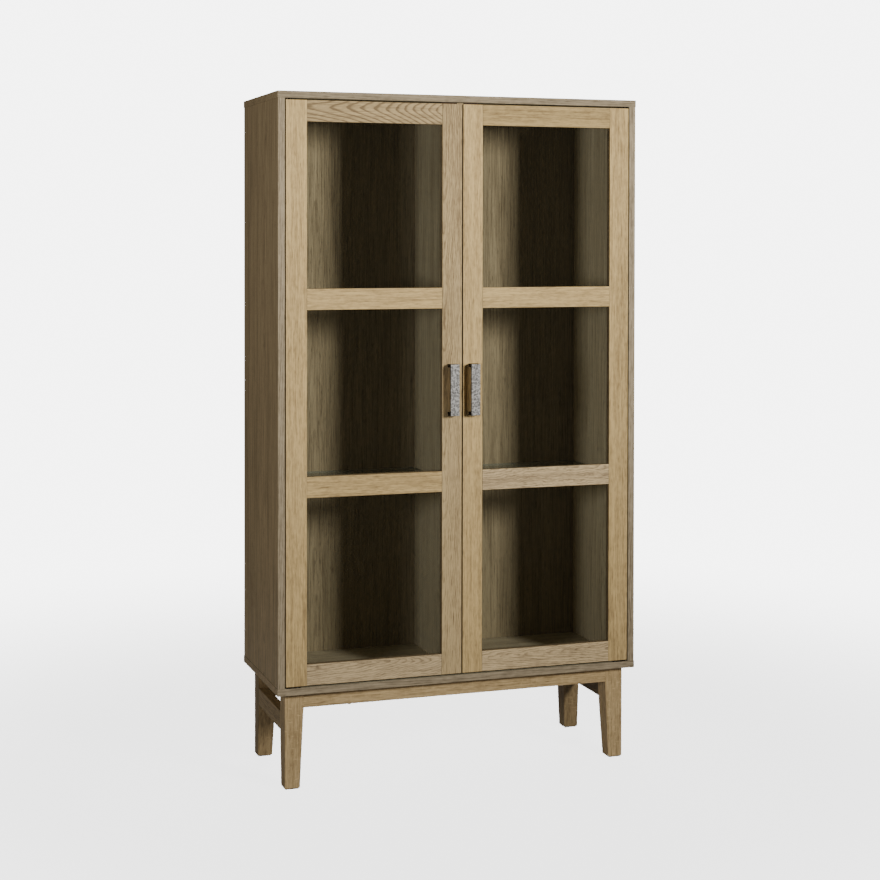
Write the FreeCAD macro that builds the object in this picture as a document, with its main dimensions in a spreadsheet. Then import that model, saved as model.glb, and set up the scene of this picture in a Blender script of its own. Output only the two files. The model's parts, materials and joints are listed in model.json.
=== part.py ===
import FreeCAD, Part
import Sketcher
import math
import os
import re

# Display cabinet: a carcass with a centre divider and glass shelves, two framed glass doors on
# pivot hinges, and a base of four tapered legs. Millimetres; X to the right, Y to the back, Z up.
# The origin is on the floor, in the middle of the box that holds the whole cabinet.

# Driving sizes: word, number, what it is.
SIZES = (
    ("width", "1000", "whole width, over the top panel"),
    ("depth", "400", "depth of the carcass, without the handles"),
    ("height", "1800", "whole height above the floor"),
    ("board", "18", "thickness of the carcass panels"),
    ("overhang", "1", "how far top and bottom panel stand out past a side panel"),
    ("back_board", "6", "thickness of the back panel"),
    ("back_margin", "12", "wood behind the back panel's groove"),
    ("groove", "6", "depth of the groove that holds the back panel"),
    ("groove_play", "0.5", "room round the back panel's edge in its groove"),
    ("tenon_thick", "8", "thickness of the loose tenons between the carcass panels"),
    ("tenon_wide", "40", "width of a loose tenon"),
    ("tenon_long", "30", "length of a loose tenon"),
    ("tenon_bite", "10", "how far a loose tenon reaches into the top or bottom panel"),
    ("tenon_margin", "45", "middle of the first loose tenon from a panel's front and back edge"),
    ("fit", "0.05", "radial play of a turned piece in its bore"),
    ("overrun", "2", "how far a cut runs past the surface that it opens"),
    ("base_height", "250", "underside of the carcass above the floor"),
    ("base_inset", "25", "how far the legs stand in from the carcass on every side"),
    ("leg_top", "50", "leg width and depth at the top"),
    ("leg_foot", "40", "leg width and depth at the foot"),
    ("leg_arris", "1.5", "rounding of the leg's outer corner"),
    ("apron_tall", "40", "height of the front and rear apron"),
    ("apron_thick", "20", "thickness of the aprons"),
    ("side_rail_tall", "47", "height of a side rail"),
    ("side_rail_thick", "25", "thickness of a side rail"),
    ("side_rail_drop", "58", "open space between carcass and side rail"),
    ("base_tenon_long", "15", "length of the base's tenons"),
    ("base_tenon_thick", "8", "thickness of the base's tenons"),
    ("base_tenon_shoulder", "6", "shoulder above and below the base's tenons"),
    ("base_screw_wide", "5", "diameter of the screws that hold the base"),
    ("base_screw_head", "9", "head diameter of those screws"),
    ("base_screw_head_tall", "3", "head height of those screws"),
    ("base_screw_bite", "12", "how far those screws reach into the bottom panel"),
    ("glide_wide", "34", "width and depth of a glide"),
    ("glide_thick", "3", "thickness of a glide"),
    ("door_thick", "20", "thickness of a door"),
    ("side_gap", "3", "gap between a door and its side panel"),
    ("middle_gap", "3", "gap between the two doors"),
    ("end_gap", "4.5", "gap above and below a door, which holds the pivot's collar"),
    ("frame_wide", "55", "width of the door's stiles and rails"),
    ("rebate_wide", "10", "how far the rebate reaches under the frame"),
    ("rebate_deep", "10", "depth of the rebate from the door's back"),
    ("pane_thick", "4", "thickness of a glass pane"),
    ("pane_play", "1", "room round a pane in its rebate"),
    ("bead_wide", "9", "width of a glass bead"),
    ("stub_long", "18", "length of a door rail's stub tenon"),
    ("stub_thick", "7", "thickness of a stub tenon"),
    ("stub_shoulder", "5", "shoulder above and below a stub tenon"),
    ("joint_play", "0.3", "room round and behind a tenon in its mortise"),
    ("stop_play", "1.8", "closed door's back to the divider's front edge"),
    ("shelf_thick", "6", "thickness of a glass shelf"),
    ("shelf_play", "1", "room at a shelf's ends"),
    ("shelf_front_room", "15", "closed door's back to a shelf's front edge"),
    ("shelf_back_room", "2", "room behind a shelf"),
    ("shelf_lift", "17", "shelf top above the lower edge of the door rail that hides it"),
    ("pin_wide", "5", "diameter of a shelf pin"),
    ("pin_sunk", "8", "how far a shelf pin sits in its bore"),
    ("pin_out", "9", "how far a shelf pin stands out"),
    ("pin_margin", "40", "shelf pin's distance from the shelf's front and back edge"),
    ("pivot_edge", "7", "pivot axis to the door's outer edge"),
    ("pivot_front", "6", "pivot axis behind the door's front face"),
    ("pivot_pin_wide", "5", "diameter of the pivot pin"),
    ("pivot_pin_long", "12", "how far the pivot pin reaches into the door"),
    ("pivot_plate_wide", "9", "width of a pivot plate, and diameter of its collar or sleeve"),
    ("pivot_plate_long", "33", "pivot axis to the inner end of its plate"),
    ("pivot_plate_thick", "2", "thickness of a pivot plate"),
    ("pivot_play", "0.1", "play between collar and sleeve"),
    ("seat_play", "0.2", "room round a plate or sleeve in the wood"),
    ("catch_long", "40", "length of a magnetic catch"),
    ("catch_deep", "13", "depth of a magnetic catch"),
    ("catch_tall", "14", "height of a magnetic catch"),
    ("catch_aside", "32", "middle of a catch from the cabinet's middle"),
    ("strike_long", "26", "length of a strike plate"),
    ("strike_tall", "8", "height of a strike plate"),
    ("strike_thick", "1.5", "thickness of a strike plate"),
    ("catch_play", "0.3", "closed strike plate to its catch"),
    ("handle_wide", "24", "width of a handle"),
    ("handle_tall", "136", "height of a handle"),
    ("handle_reach", "26", "how far a handle stands out of its door"),
    ("handle_thick", "4", "thickness of a handle's bar"),
    ("handle_foot", "9", "height of a handle's foot"),
    ("handle_bend", "3", "outer rounding where the bar turns into the foot"),
    ("handle_fillet", "2", "inner rounding where the bar turns into the foot"),
    ("handle_screw_wide", "4", "diameter of a handle's screw"),
    ("handle_screw_bite", "12", "how far that screw reaches into the foot"),
    ("handle_screw_head", "8", "head diameter of that screw"),
    ("handle_screw_head_tall", "2.5", "head height of that screw"),
)

PANES = 3
TENON_ROW = 3
BASE_SCREW_SHARES = (-0.3, 0.3)
HAIR = 1e-6
SIDES = (("left", -1), ("right", 1))
ENDS = {"front": ("leg_front", 1), "rear": ("leg_back", -1)}

# Places and sizes that follow from the driving ones.
DERIVED = {
    "front": "handle_reach - (depth + handle_reach) / 2",
    "back": "front + depth",
    "side_out": "width / 2 - overhang",
    "side_in": "side_out - board",
    "side_middle": "side_out - board / 2",
    "floor_top": "base_height + board",
    "ceiling": "height - board",
    "back_face": "back - back_margin - back_board",
    "back_rear": "back - back_margin",
    "divider_side": "board / 2",
    "door_side": "side_in - side_gap",
    "door_middle": "middle_gap / 2",
    "door_low": "floor_top + end_gap",
    "door_high": "ceiling - end_gap",
    "door_back": "front + door_thick",
    "rebate_face": "door_back - rebate_deep",
    "stop_face": "door_back + stop_play",
    "opening_out": "door_side - frame_wide",
    "opening_in": "door_middle + frame_wide",
    "rebate_out": "opening_out + rebate_wide",
    "rebate_in": "opening_in - rebate_wide",
    "opening_tall": f"(door_high - door_low - {PANES + 1} * frame_wide) / {PANES}",
    "stub_middle": "front + door_thick / 2",
    "shelf_front": "door_back + shelf_front_room",
    "shelf_back": "back_face - shelf_back_room",
    "leg_side": "width / 2 - base_inset",
    "leg_front": "front + base_inset",
    "leg_back": "back - base_inset",
    "apron_low": "base_height - apron_tall",
    "side_rail_high": "base_height - side_rail_drop",
    "side_rail_low": "side_rail_high - side_rail_tall",
    "pivot_side": "door_side - pivot_edge",
    "pivot_depth": "front + pivot_front",
    "collar_tall": "end_gap - pivot_play",
    "handle_front": "front - handle_reach",
    "handle_middle": "(door_low + door_high) / 2",
    "handle_side": "door_middle + frame_wide / 2",
    "strike_back": "door_back + strike_thick",
}

WORDS = {word for word, number, note in SIZES}
PLANES = {"XY": "XY_Plane", "XZ": "XZ_Plane", "YZ": "YZ_Plane"}
TURNS = {
    "x": FreeCAD.Rotation(FreeCAD.Vector(0, 1, 0), 90),
    "y": FreeCAD.Rotation(FreeCAD.Vector(1, 0, 0), -90),
    "z": FreeCAD.Rotation(),
}

doc = FreeCAD.newDocument("display_cabinet")
sheet = doc.addObject("Spreadsheet::Sheet", "sizes")
nodes = []


def fill_sheet():
    """One row for each driving size: its word, its number and what it is."""
    for row, (word, number, note) in enumerate(SIZES, 1):
        sheet.set(f"A{row}", word)
        sheet.set(f"B{row}", number)
        sheet.set(f"C{row}", note)
        sheet.setAlias(f"B{row}", word)
    doc.recompute()


def formula(text):
    """The text with each derived word written out and each driving word bound to its cell."""
    def swap(match):
        word = match.group(0)
        if word in DERIVED:
            return f"({formula(DERIVED[word])})"
        if word not in WORDS:
            raise KeyError(f"no size is called {word}")
        return f"sizes.{word}"
    return re.sub(r"[a-z_]+", swap, str(text))


def bind(thing, values):
    """Bind each property of a thing to a formula of the driving sizes."""
    for name, text in values.items():
        thing.setExpression(name, formula(text))


def across(sign, near, far):
    """Low and high X of a stretch that lies near to far from the middle plane, on one side."""
    if sign > 0:
        return near, far
    return f"-({far})", f"-({near})"


def along(sign, seat, reach):
    """Low and high of a stretch that starts at a seat and reaches up (1) or down (-1) from it."""
    if sign > 0:
        return seat, f"({seat}) + ({reach})"
    return f"({seat}) - ({reach})", seat


def into(sign, seat, reach):
    """Low and high of a cut that opens at a seat and reaches up (1) or down (-1) into the wood."""
    if sign > 0:
        return f"({seat}) - overrun", f"({seat}) + ({reach})"
    return f"({seat}) - ({reach})", f"({seat}) + overrun"


def middle(span):
    """The middle of a stretch."""
    return f"(({span[0]}) + ({span[1]})) / 2"


def widen(span, room):
    """A stretch with room added at both ends."""
    return f"({span[0]}) - ({room})", f"({span[1]}) + ({room})"


def block(x, y, z):
    """A box between the low and high formulas of each axis."""
    box = doc.addObject("Part::Box", "block")
    bind(box, {
        "Length": f"({x[1]}) - ({x[0]})",
        "Width": f"({y[1]}) - ({y[0]})",
        "Height": f"({z[1]}) - ({z[0]})",
        "Placement.Base.x": x[0],
        "Placement.Base.y": y[0],
        "Placement.Base.z": z[0],
    })
    return box


def rod(axis, x, y, z, diameter, play="0"):
    """A cylinder along an axis: that axis gets its low and high, the other two their middle."""
    place = {"x": x, "y": y, "z": z}
    low, high = place[axis]
    place[axis] = low
    cylinder = doc.addObject("Part::Cylinder", "rod")
    cylinder.Placement = FreeCAD.Placement(FreeCAD.Vector(), TURNS[axis])
    bind(cylinder, {"Radius": f"({diameter}) / 2 + ({play})", "Height": f"({high}) - ({low})"})
    bind(cylinder, {f"Placement.Base.{name}": text for name, text in place.items()})
    return cylinder


def fuse(*shapes):
    """One solid made of shapes that touch or overlap."""
    if len(shapes) == 1:
        return shapes[0]
    joined = doc.addObject("Part::MultiFuse", "fuse")
    joined.Shapes = list(shapes)
    joined.Refine = True
    return joined


def cut(base, *tools):
    """The base less all the tools."""
    if not tools:
        return base
    carved = doc.addObject("Part::Cut", "cut")
    carved.Base = base
    carved.Tool = fuse(*tools)
    return carved


def group(*shapes):
    """Separate like solids that share one node."""
    batch = doc.addObject("Part::Compound", "group")
    batch.Links = list(shapes)
    return batch


def node(name, thing):
    """Name a finished sub-part: its label is the name of its file."""
    thing.Label = name
    nodes.append(thing)
    return thing


def outline(body, plane, loops, start):
    """A sketch of closed loops, every corner bound in both directions, on one of the body's planes."""
    sketch = body.newObject("Sketcher::SketchObject", "outline")
    origin_plane = next(f for f in body.Origin.OriginFeatures if f.Role == PLANES[plane])
    sketch.AttachmentSupport = [(origin_plane, "")]
    sketch.MapMode = "FlatFace"
    for loop in loops:
        first = sketch.GeometryCount
        count = len(loop)
        turn = 2 * math.pi / count
        rough = [FreeCAD.Vector(math.cos(turn * i), math.sin(turn * i), 0) for i in range(count)]
        for i in range(count):
            sketch.addGeometry(Part.LineSegment(rough[i], rough[(i + 1) % count]), False)
        for i, (u, v) in enumerate(loop):
            line = first + i
            after = first + (i + 1) % count
            sketch.addConstraint(Sketcher.Constraint("Coincident", line, 2, after, 1))
            for kind, value, guess in (("DistanceX", u, rough[i].x), ("DistanceY", v, rough[i].y)):
                number = sketch.addConstraint(Sketcher.Constraint(kind, -1, 1, line, 1, guess))
                sketch.setExpression(f"Constraints[{number}]", formula(value))
    offset = f"-({start})" if plane == "XZ" else start
    sketch.setExpression("AttachmentOffset.Base.z", formula(offset))
    return sketch


def pad(body, plane, loops, span):
    """Add the loops' area between the low and high of the plane's own axis."""
    start = span[1] if plane == "XZ" else span[0]
    feature = body.newObject("PartDesign::Pad", "pad")
    feature.Profile = outline(body, plane, loops, start)
    bind(feature, {"Length": f"({span[1]}) - ({span[0]})"})
    return feature


def pocket(body, plane, loops, span):
    """Take the loops' area away between the low and high of the plane's own axis."""
    start = span[1] if plane == "XZ" else span[0]
    feature = body.newObject("PartDesign::Pocket", "pocket")
    feature.Profile = outline(body, plane, loops, start)
    feature.Reversed = True
    bind(feature, {"Length": f"({span[1]}) - ({span[0]})"})
    return feature


def rectangle(u, v):
    """The corners of a rectangle between two stretches."""
    return [(u[0], v[0]), (u[1], v[0]), (u[1], v[1]), (u[0], v[1])]


def round_edges(body, wanted, radius):
    """Round those edges of the body's last feature that the test picks."""
    doc.recompute()
    last = body.Tip
    names = [f"Edge{i}" for i, edge in enumerate(last.Shape.Edges, 1) if wanted(edge)]
    if not names:
        raise ValueError(f"{body.Label}: no edge to round")
    feature = body.newObject("PartDesign::Fillet", "rounding")
    feature.Base = (last, names)
    bind(feature, {"Radius": radius})
    return feature


def runs_along(edge, axis):
    """Whether a straight edge runs along X (0), Y (1) or Z (2)."""
    if len(edge.Vertexes) < 2 or not isinstance(edge.Curve, Part.Line):
        return False
    return abs(abs(edge.Curve.Direction[axis]) - 1) < HAIR


def at(edge, **place):
    """Whether an edge's middle lies at the given places."""
    return all(abs(getattr(edge.CenterOfMass, axis) - place[axis]) < HAIR for axis in place)


def value(text):
    """The number that a formula gives."""
    return float(sheet.evalExpression(formula(text)))


# Carcass

def tenon_places():
    """Depth of each loose tenon along a joint, evenly from the first to the last."""
    step = f"(depth - 2 * tenon_margin) / {TENON_ROW - 1}"
    return [f"front + tenon_margin + {i} * {step}" for i in range(TENON_ROW)]


def upright_lines():
    """X of each upright panel's middle plane."""
    return ["-side_middle", "0", "side_middle"]


def tenon(line, y, z, play="0"):
    """A loose tenon about an upright's middle plane."""
    x = widen((line, line), f"tenon_thick / 2 + ({play})")
    return block(x, widen((y, y), f"tenon_wide / 2 + ({play})"), z)


def tenon_mortises(lines, seat, sign, reach):
    """Mortises for the loose tenons of some uprights, from a face up (1) or down (-1)."""
    return [tenon(line, y, into(sign, seat, reach), "joint_play")
            for line in lines for y in tenon_places()]


def back_groove(x, z):
    """The groove that holds an edge of the back panel."""
    return block(x, ("back_face", "back_rear + groove_play"), z)


def shelf_top(level):
    """Top of the shelf that hides behind a middle rail of the doors, counted from below."""
    rail_low = f"door_low + {level} * (frame_wide + opening_tall)"
    return f"{rail_low} + shelf_lift"


def pin_places():
    """Depth and height of each pair of shelf pins, one pair to a level."""
    return [(y, f"{shelf_top(level)} - shelf_thick - pin_wide / 2")
            for level in range(1, PANES)
            for y in ("shelf_front + pin_margin", "shelf_back - pin_margin")]


def plate_outline(sign, z, play="0"):
    """A plate with one round end about the pivot axis, as a block and a disc."""
    x = across(sign, f"pivot_side - pivot_plate_long - ({play})", "pivot_side")
    y = widen(("pivot_depth", "pivot_depth"), f"pivot_plate_wide / 2 + ({play})")
    return [block(x, y, z), rod("z", f"{sign} * pivot_side", "pivot_depth", z, "pivot_plate_wide", play)]


def pivot_recess(sign, face, up):
    """Recess for a pivot plate in the wood that lies up (1) or down (-1) of a face."""
    return plate_outline(sign, into(up, face, "pivot_plate_thick"), "seat_play")


def end_panel(z, face, up):
    """Top or bottom panel as a board, and the cuts that it shares with the other one."""
    board = block(("-width / 2", "width / 2"), ("front", "back"), z)
    groove = back_groove(("-(side_in + groove)", "side_in + groove"), into(up, face, "groove"))
    recesses = [piece for side, sign in SIDES for piece in pivot_recess(sign, face, up)]
    mortises = tenon_mortises(upright_lines(), face, up, "tenon_bite + joint_play")
    return board, [groove] + recesses + mortises


def top_panel():
    board, cuts = end_panel(("ceiling", "height"), "ceiling", 1)
    node("top_panel", cut(board, *cuts))


def bottom_panel():
    board, cuts = end_panel(("base_height", "floor_top"), "floor_top", -1)
    drills = [rod("z", x, y, into(1, "base_height", "base_screw_bite"), "base_screw_wide", "fit")
              for end in ENDS for x, y in base_screw_places(end)]
    node("bottom_panel", cut(board, *cuts, *drills))


def side_panel(side, sign):
    face = f"{sign} * side_in"
    board = block(across(sign, "side_in", "side_out"), ("front", "back"), ("floor_top", "ceiling"))
    groove = back_groove(into(sign, face, "groove"), widen(("floor_top", "ceiling"), "overrun"))
    pins = [rod("x", into(sign, face, "pin_sunk"), y, z, "pin_wide", "fit") for y, z in pin_places()]
    node(f"side_panel_{side}", cut(board, groove, *pins, *end_mortises(f"{sign} * side_middle")))


def end_mortises(line):
    """Mortises for the loose tenons in both ends of an upright panel."""
    reach = "tenon_long - tenon_bite"
    return (tenon_mortises([line], "floor_top", 1, reach)
            + tenon_mortises([line], "ceiling", -1, reach))


def centre_divider():
    board = block(("-divider_side", "divider_side"), ("stop_face", "back_face"), ("floor_top", "ceiling"))
    through = widen(("-divider_side", "divider_side"), "overrun")
    pins = [rod("x", through, y, z, "pin_wide", "fit") for y, z in pin_places()]
    node("centre_divider", cut(board, *pins, *end_mortises("0")))


def back_panel():
    edge = "groove - groove_play"
    x = (f"-(side_in + {edge})", f"side_in + {edge}")
    z = (f"floor_top - ({edge})", f"ceiling + {edge}")
    node("back_panel", block(x, ("back_face", "back_rear"), z))


def carcass_tenons():
    lows = ("floor_top - tenon_bite", "ceiling + tenon_bite - tenon_long")
    tenons = [tenon(line, y, along(1, low, "tenon_long"))
              for line in upright_lines() for y in tenon_places() for low in lows]
    node("carcass_tenons", group(*tenons))


def shelves():
    for side, sign in SIDES:
        for level, name in ((1, "lower"), (2, "upper")):
            x = across(sign, "divider_side + shelf_play", "side_in - shelf_play")
            z = along(-1, shelf_top(level), "shelf_thick")
            node(f"shelf_{side}_{name}", block(x, ("shelf_front", "shelf_back"), z))


def shelf_pins():
    """Pins in the side panels, and pins through the divider that carry a shelf on each side."""
    pins = []
    for y, z in pin_places():
        for side, sign in SIDES:
            reach = across(sign, "side_in - pin_out", "side_in + pin_sunk")
            pins.append(rod("x", reach, y, z, "pin_wide"))
        pins.append(rod("x", widen(("-divider_side", "divider_side"), "pin_out"), y, z, "pin_wide"))
    node("shelf_pins", group(*pins))


# Base

def leg(end, side, sign):
    """Straight at the top where apron and rail meet it, tapered below them on its two inner faces."""
    body = doc.addObject("PartDesign::Body", "leg")
    face, inward = ENDS[end]
    inner = "leg_side - leg_top"
    corners = [("leg_side", "glide_thick"), ("leg_side", "base_height"), (inner, "base_height"),
               (inner, "apron_low"), ("leg_side - leg_foot", "glide_thick")]
    pad(body, "XZ", [[(f"{sign} * ({u})", v) for u, v in corners]], along(inward, face, "leg_top"))
    inner_y = f"{face} + {inward} * leg_top"
    foot_y = f"{face} + {inward} * leg_foot"
    outside = f"{inner_y} + {inward} * overrun"
    wedge = [(inner_y, "side_rail_low"), (outside, "side_rail_low"), (outside, "glide_thick - overrun"),
             (foot_y, "glide_thick - overrun"), (foot_y, "glide_thick")]
    pocket(body, "YZ", [wedge], widen(across(sign, inner, "leg_side"), "overrun"))
    deep = "base_tenon_long + joint_play"
    apron_y, apron_z = apron_tenon(end)
    pocket(body, "YZ", [rectangle(widen(apron_y, "joint_play"), widen(apron_z, "joint_play"))],
           into(sign, f"{sign} * ({inner})", deep))
    rail_x, rail_z = side_rail_tenon(sign)
    pocket(body, "XZ", [rectangle(widen(rail_x, "joint_play"), widen(rail_z, "joint_play"))],
           into(-inward, inner_y, deep))
    corner_x = value(f"{sign} * leg_side")
    corner_y = value(face)
    round_edges(body, lambda edge: runs_along(edge, 2) and at(edge, x=corner_x, y=corner_y), "leg_arris")
    node(f"leg_{end}_{side}", body)


def apron_span(end):
    """Low and high Y of an apron, flush with the legs' outer faces."""
    face, inward = ENDS[end]
    return along(inward, face, "apron_thick")


def apron_tenon(end):
    """Y and Z stretches of an apron's tenon."""
    line = middle(apron_span(end))
    z = ("apron_low + base_tenon_shoulder", "base_height - base_tenon_shoulder")
    return widen((line, line), "base_tenon_thick / 2"), z


def side_rail_tenon(sign):
    """X and Z stretches of a side rail's tenon."""
    line = middle(across(sign, "leg_side - side_rail_thick", "leg_side"))
    z = ("side_rail_low + base_tenon_shoulder", "side_rail_high - base_tenon_shoulder")
    return widen((line, line), "base_tenon_thick / 2"), z


def base_screw_places(end):
    """X and Y of the screws that go up through an apron into the bottom panel."""
    return [(f"{share} * width", middle(apron_span(end))) for share in BASE_SCREW_SHARES]


def apron(end):
    half = "leg_side - leg_top"
    rail = block((f"-({half})", half), apron_span(end), ("apron_low", "base_height"))
    y, z = apron_tenon(end)
    tenons = [block(across(sign, half, f"{half} + base_tenon_long"), y, z) for side, sign in SIDES]
    through = widen(("apron_low", "base_height"), "overrun")
    drills = [rod("z", x, line, through, "base_screw_wide", "fit") for x, line in base_screw_places(end)]
    node(f"apron_{end}", cut(fuse(rail, *tenons), *drills))


def side_rail(side, sign):
    near = "leg_front + leg_top"
    far = "leg_back - leg_top"
    rail = block(across(sign, "leg_side - side_rail_thick", "leg_side"), (near, far),
                 ("side_rail_low", "side_rail_high"))
    x, z = side_rail_tenon(sign)
    tenons = [block(x, along(-1, near, "base_tenon_long"), z),
              block(x, along(1, far, "base_tenon_long"), z)]
    node(f"side_rail_{side}", fuse(rail, *tenons))


def base_screws():
    screws = []
    for end in ENDS:
        for x, y in base_screw_places(end):
            head = rod("z", x, y, along(-1, "apron_low", "base_screw_head_tall"), "base_screw_head")
            shank = rod("z", x, y, ("apron_low", "base_height + base_screw_bite"), "base_screw_wide")
            screws.append(fuse(head, shank))
    node("base_screws", group(*screws))


def leg_glides():
    """A square pad in the middle of each foot."""
    margin = "(leg_foot - glide_wide) / 2"
    glides = [block(across(sign, f"leg_side - {margin} - glide_wide", f"leg_side - {margin}"),
                    along(inward, f"{face} + {inward} * {margin}", "glide_wide"), ("0", "glide_thick"))
              for side, sign in SIDES for face, inward in ENDS.values()]
    node("leg_glides", group(*glides))


# Doors

RAILS = ("bottom", "middle_lower", "middle_upper", "top")


def rail_span(level):
    """Low and high Z of a door rail, counted from below."""
    low = f"door_low + {level} * (frame_wide + opening_tall)"
    return low, f"{low} + frame_wide"


def rail_core(level):
    """Z stretch of a rail's back half, which the rebates narrow where a pane meets the rail."""
    low, high = rail_span(level)
    if level > 0:
        low = f"{low} + rebate_wide"
    if level < PANES:
        high = f"{high} - rebate_wide"
    return low, high


def stub_span(level):
    """Y and Z stretches of a rail's stub tenon."""
    low, high = rail_core(level)
    y = widen(("stub_middle", "stub_middle"), "stub_thick / 2")
    return y, (f"{low} + stub_shoulder", f"{high} - stub_shoulder")


def stile_body(sign, edge, opening, rebate):
    """A stile's rebated section run up the whole door, with a mortise for every rail."""
    body = doc.addObject("PartDesign::Body", "stile")
    section = [(edge, "front"), (opening, "front"), (opening, "rebate_face"),
               (rebate, "rebate_face"), (rebate, "door_back"), (edge, "door_back")]
    pad(body, "XY", [[(f"{sign} * ({u})", v) for u, v in section]], ("door_low", "door_high"))
    mortises = []
    for level in range(PANES + 1):
        y, z = stub_span(level)
        mortises.append(rectangle(widen(y, "joint_play"), widen(z, "joint_play")))
    outward = sign if edge == "door_side" else -sign
    pocket(body, "YZ", mortises, into(outward, f"{sign} * ({opening})", "stub_long + joint_play"))
    doc.recompute()
    return body


def stile_outer(side, sign):
    """The hinge stile, drilled and recessed at both ends for the pivot's sleeve and plate."""
    body = stile_body(sign, "door_side", "opening_out", "rebate_out")
    seats = []
    for face, up in (("door_low", 1), ("door_high", -1)):
        sleeve = into(up, face, "pivot_pin_long + seat_play")
        seats += pivot_recess(sign, face, up)
        seats.append(rod("z", f"{sign} * pivot_side", "pivot_depth", sleeve, "pivot_plate_wide",
                         "seat_play"))
    node(f"stile_outer_{side}", cut(body, *seats))


def handle_screw_heights():
    """Z of a handle's two screws, in the middle of its feet."""
    step = "(handle_tall - handle_foot) / 2"
    return [f"handle_middle - {step}", f"handle_middle + {step}"]


def stile_inner(side, sign):
    """The closing stile, drilled for the handle's screws."""
    body = stile_body(sign, "door_middle", "opening_in", "rebate_in")
    through = widen(("front", "door_back"), "overrun")
    bores = [rod("y", f"{sign} * handle_side", through, z, "handle_screw_wide", "seat_play")
             for z in handle_screw_heights()]
    node(f"stile_inner_{side}", cut(body, *bores))


def door_rail(side, sign, level):
    """Front half between the stiles, back half let into their rebates, and a stub tenon at each end."""
    front_half = block(across(sign, "opening_in", "opening_out"), ("front", "rebate_face"),
                       rail_span(level))
    back_half = block(across(sign, "rebate_in", "rebate_out"), ("rebate_face", "door_back"),
                      rail_core(level))
    y, z = stub_span(level)
    stubs = [block(across(sign, "opening_in - stub_long", "opening_in"), y, z),
             block(across(sign, "opening_out", "opening_out + stub_long"), y, z)]
    node(f"rail_{RAILS[level]}_{side}", fuse(front_half, back_half, *stubs))


def pane_room(level):
    """Z stretch of the rebate round the opening above a rail."""
    return rail_core(level)[1], rail_core(level + 1)[0]


def panes(side, sign):
    for level, name in enumerate(("lower", "middle", "upper")):
        x = across(sign, "rebate_in + pane_play", "rebate_out - pane_play")
        z = widen(pane_room(level), "-pane_play")
        node(f"pane_{name}_{side}", block(x, along(1, "rebate_face", "pane_thick"), z))


def glass_beads(side, sign):
    """Four strips behind each pane, flush with the door's back."""
    y = ("rebate_face + pane_thick", "door_back")
    strips = []
    for level in range(PANES):
        low, high = pane_room(level)
        long_x = across(sign, "rebate_in", "rebate_out")
        strips.append(block(long_x, y, along(1, low, "bead_wide")))
        strips.append(block(long_x, y, along(-1, high, "bead_wide")))
        short_z = (f"{low} + bead_wide", f"{high} - bead_wide")
        strips.append(block(across(sign, "rebate_in", "rebate_in + bead_wide"), y, short_z))
        strips.append(block(across(sign, "rebate_out - bead_wide", "rebate_out"), y, short_z))
    node(f"glass_beads_{side}", group(*strips))


def handle(side, sign):
    """A flat bar whose ends turn back into feet that stand on the stile."""
    body = doc.addObject("PartDesign::Body", "handle")
    low = "handle_middle - handle_tall / 2"
    high = "handle_middle + handle_tall / 2"
    inside = "handle_front + handle_thick"
    profile = [("front", low), ("handle_front", low), ("handle_front", high), ("front", high),
               ("front", f"{high} - handle_foot"), (inside, f"{high} - handle_foot"),
               (inside, f"{low} + handle_foot"), ("front", f"{low} + handle_foot")]
    pad(body, "YZ", [profile], widen((f"{sign} * handle_side",) * 2, "handle_wide / 2"))
    outer = value("handle_front")
    inner = value(inside)
    round_edges(body, lambda edge: runs_along(edge, 0) and at(edge, y=outer), "handle_bend")
    round_edges(body, lambda edge: runs_along(edge, 0) and at(edge, y=inner), "handle_fillet")
    doc.recompute()
    bores = [rod("y", f"{sign} * handle_side", into(-1, "front", "handle_screw_bite"), z,
                 "handle_screw_wide", "fit") for z in handle_screw_heights()]
    node(f"handle_{side}", cut(body, *bores))


def handle_screws(side, sign):
    screws = []
    for z in handle_screw_heights():
        x = f"{sign} * handle_side"
        shank = rod("y", x, ("front - handle_screw_bite", "door_back"), z, "handle_screw_wide")
        head = rod("y", x, along(1, "door_back", "handle_screw_head_tall"), z, "handle_screw_head")
        screws.append(fuse(shank, head))
    node(f"handle_screws_{side}", group(*screws))


# Pivot hinges and catches

def pivot_plate(sign, face, up):
    """Plate in the carcass, with a collar that carries the door and a pin that it turns on."""
    plate = plate_outline(sign, along(-up, face, "pivot_plate_thick"))
    axis = f"{sign} * pivot_side"
    collar = rod("z", axis, "pivot_depth", along(up, face, "collar_tall"), "pivot_plate_wide")
    pin = rod("z", axis, "pivot_depth", along(up, face, "end_gap + pivot_pin_long"), "pivot_pin_wide")
    return fuse(*plate, collar, pin)


def pivot_plates(side, sign):
    node(f"pivot_plates_{side}", group(pivot_plate(sign, "floor_top", 1),
                                       pivot_plate(sign, "ceiling", -1)))


def pivot_socket(sign, face, up):
    """Plate in the stile's end, with a sleeve for the pin."""
    plate = plate_outline(sign, along(up, face, "pivot_plate_thick"))
    axis = f"{sign} * pivot_side"
    reach = along(up, face, "pivot_pin_long")
    sleeve = rod("z", axis, "pivot_depth", reach, "pivot_plate_wide")
    bore = rod("z", axis, "pivot_depth", widen(reach, "overrun"), "pivot_pin_wide", "fit")
    return cut(fuse(*plate, sleeve), bore)


def pivot_sockets(side, sign):
    node(f"pivot_sockets_{side}", group(pivot_socket(sign, "door_low", 1),
                                        pivot_socket(sign, "door_high", -1)))


def magnetic_catches():
    """A case under the top panel at each door's closing corner."""
    cases = []
    for side, sign in SIDES:
        x = widen((f"{sign} * catch_aside",) * 2, "catch_long / 2")
        y = along(1, "strike_back + catch_play", "catch_deep")
        cases.append(block(x, y, along(-1, "ceiling", "catch_tall")))
    node("magnetic_catches", group(*cases))


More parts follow.
